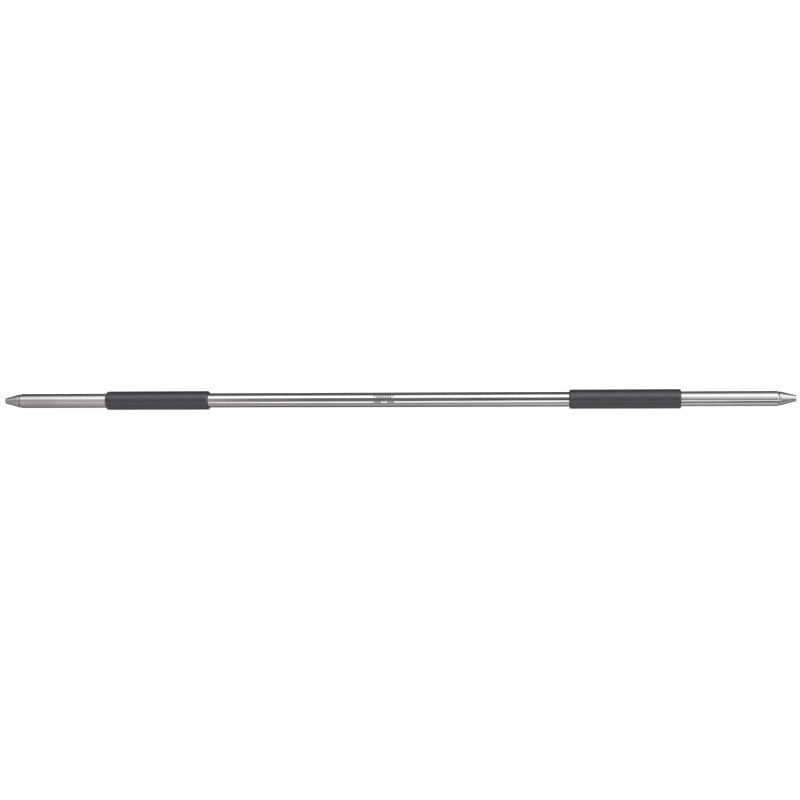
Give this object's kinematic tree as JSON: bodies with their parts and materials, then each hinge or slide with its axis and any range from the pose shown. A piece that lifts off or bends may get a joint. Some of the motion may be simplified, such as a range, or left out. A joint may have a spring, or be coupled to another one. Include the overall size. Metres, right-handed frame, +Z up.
{
  "type": "avalanche probe",
  "caption": "Straight steel probe pole in three sections that screw together, with rubber grips over the joints and a blunt conical screwed tip at each end.",
  "frame": {"origin": "middle of the pole, on its axis", "axes": "+X along the pole towards the right tip, +Z up; the pole is the same all round its axis"},
  "size_m": [1.2, 0.0288, 0.0288],
  "materials": {
    "centre_tube_steel": "bright brushed",
    "outer_tube_steel": "fine satin",
    "tip_steel": "turned satin",
    "turned_steel": "machined",
    "steel_pins": "ground",
    "brass": "machined",
    "grip_rubber": "matt",
    "seal_rubber": "satin"
  },
  "bodies": {
    "centre": {"centre_tube": "centre_tube_steel", "left_joint_socket": "brass", "left_socket_pins": "steel_pins", "right_joint_socket": "brass", "right_socket_pins": "steel_pins"},
    "left_joint_ring": {"left_joint_seal": "seal_rubber"},
    "left_section": {"left_outer_tube": "outer_tube_steel", "left_grip": "grip_rubber", "left_joint_stud": "turned_steel", "left_stud_pin": "steel_pins", "left_tip_bush": "brass"},
    "left_tip_ring": {"left_tip_seal": "seal_rubber"},
    "left_tip": {"left_tip": "tip_steel"},
    "right_joint_ring": {"right_joint_seal": "seal_rubber"},
    "right_section": {"right_outer_tube": "outer_tube_steel", "right_grip": "grip_rubber", "right_joint_stud": "turned_steel", "right_stud_pin": "steel_pins", "right_tip_bush": "brass"},
    "right_tip_ring": {"right_tip_seal": "seal_rubber"},
    "right_tip": {"right_tip": "tip_steel"}
  },
  "joints": [
    {"name": "left_section_travel", "type": "slide", "parent": "centre", "child": "left_joint_ring", "axis": [-1, 0, 0], "range_m": [0, 0.03]},
    {"name": "left_section_turn", "type": "hinge", "parent": "left_joint_ring", "child": "left_section", "pos_m": [-0.3, 0, 0], "axis": [-1, 0, 0], "range_deg": [0, 3600]},
    {"name": "left_tip_travel", "type": "slide", "parent": "left_section", "child": "left_tip_ring", "axis": [-1, 0, 0], "range_m": [0, 0.0175]},
    {"name": "left_tip_turn", "type": "hinge", "parent": "left_tip_ring", "child": "left_tip", "pos_m": [-0.5749, 0, 0], "axis": [-1, 0, 0], "range_deg": [0, 3600]},
    {"name": "right_section_travel", "type": "slide", "parent": "centre", "child": "right_joint_ring", "axis": [1, 0, 0], "range_m": [0, 0.03]},
    {"name": "right_section_turn", "type": "hinge", "parent": "right_joint_ring", "child": "right_section", "pos_m": [0.3, 0, 0], "axis": [1, 0, 0], "range_deg": [0, 3600]},
    {"name": "right_tip_travel", "type": "slide", "parent": "right_section", "child": "right_tip_ring", "axis": [1, 0, 0], "range_m": [0, 0.0175]},
    {"name": "right_tip_turn", "type": "hinge", "parent": "right_tip_ring", "child": "right_tip", "pos_m": [0.5749, 0, 0], "axis": [1, 0, 0], "range_deg": [0, 3600]}
  ],
  "couplings": [
    {"joint": "left_section_turn", "follows": "left_section_travel", "rad_per_m": 2094.4},
    {"joint": "left_tip_turn", "follows": "left_tip_travel", "rad_per_m": 3590.4},
    {"joint": "right_section_turn", "follows": "right_section_travel", "rad_per_m": 2094.4},
    {"joint": "right_tip_turn", "follows": "right_tip_travel", "rad_per_m": 3590.4}
  ]
}
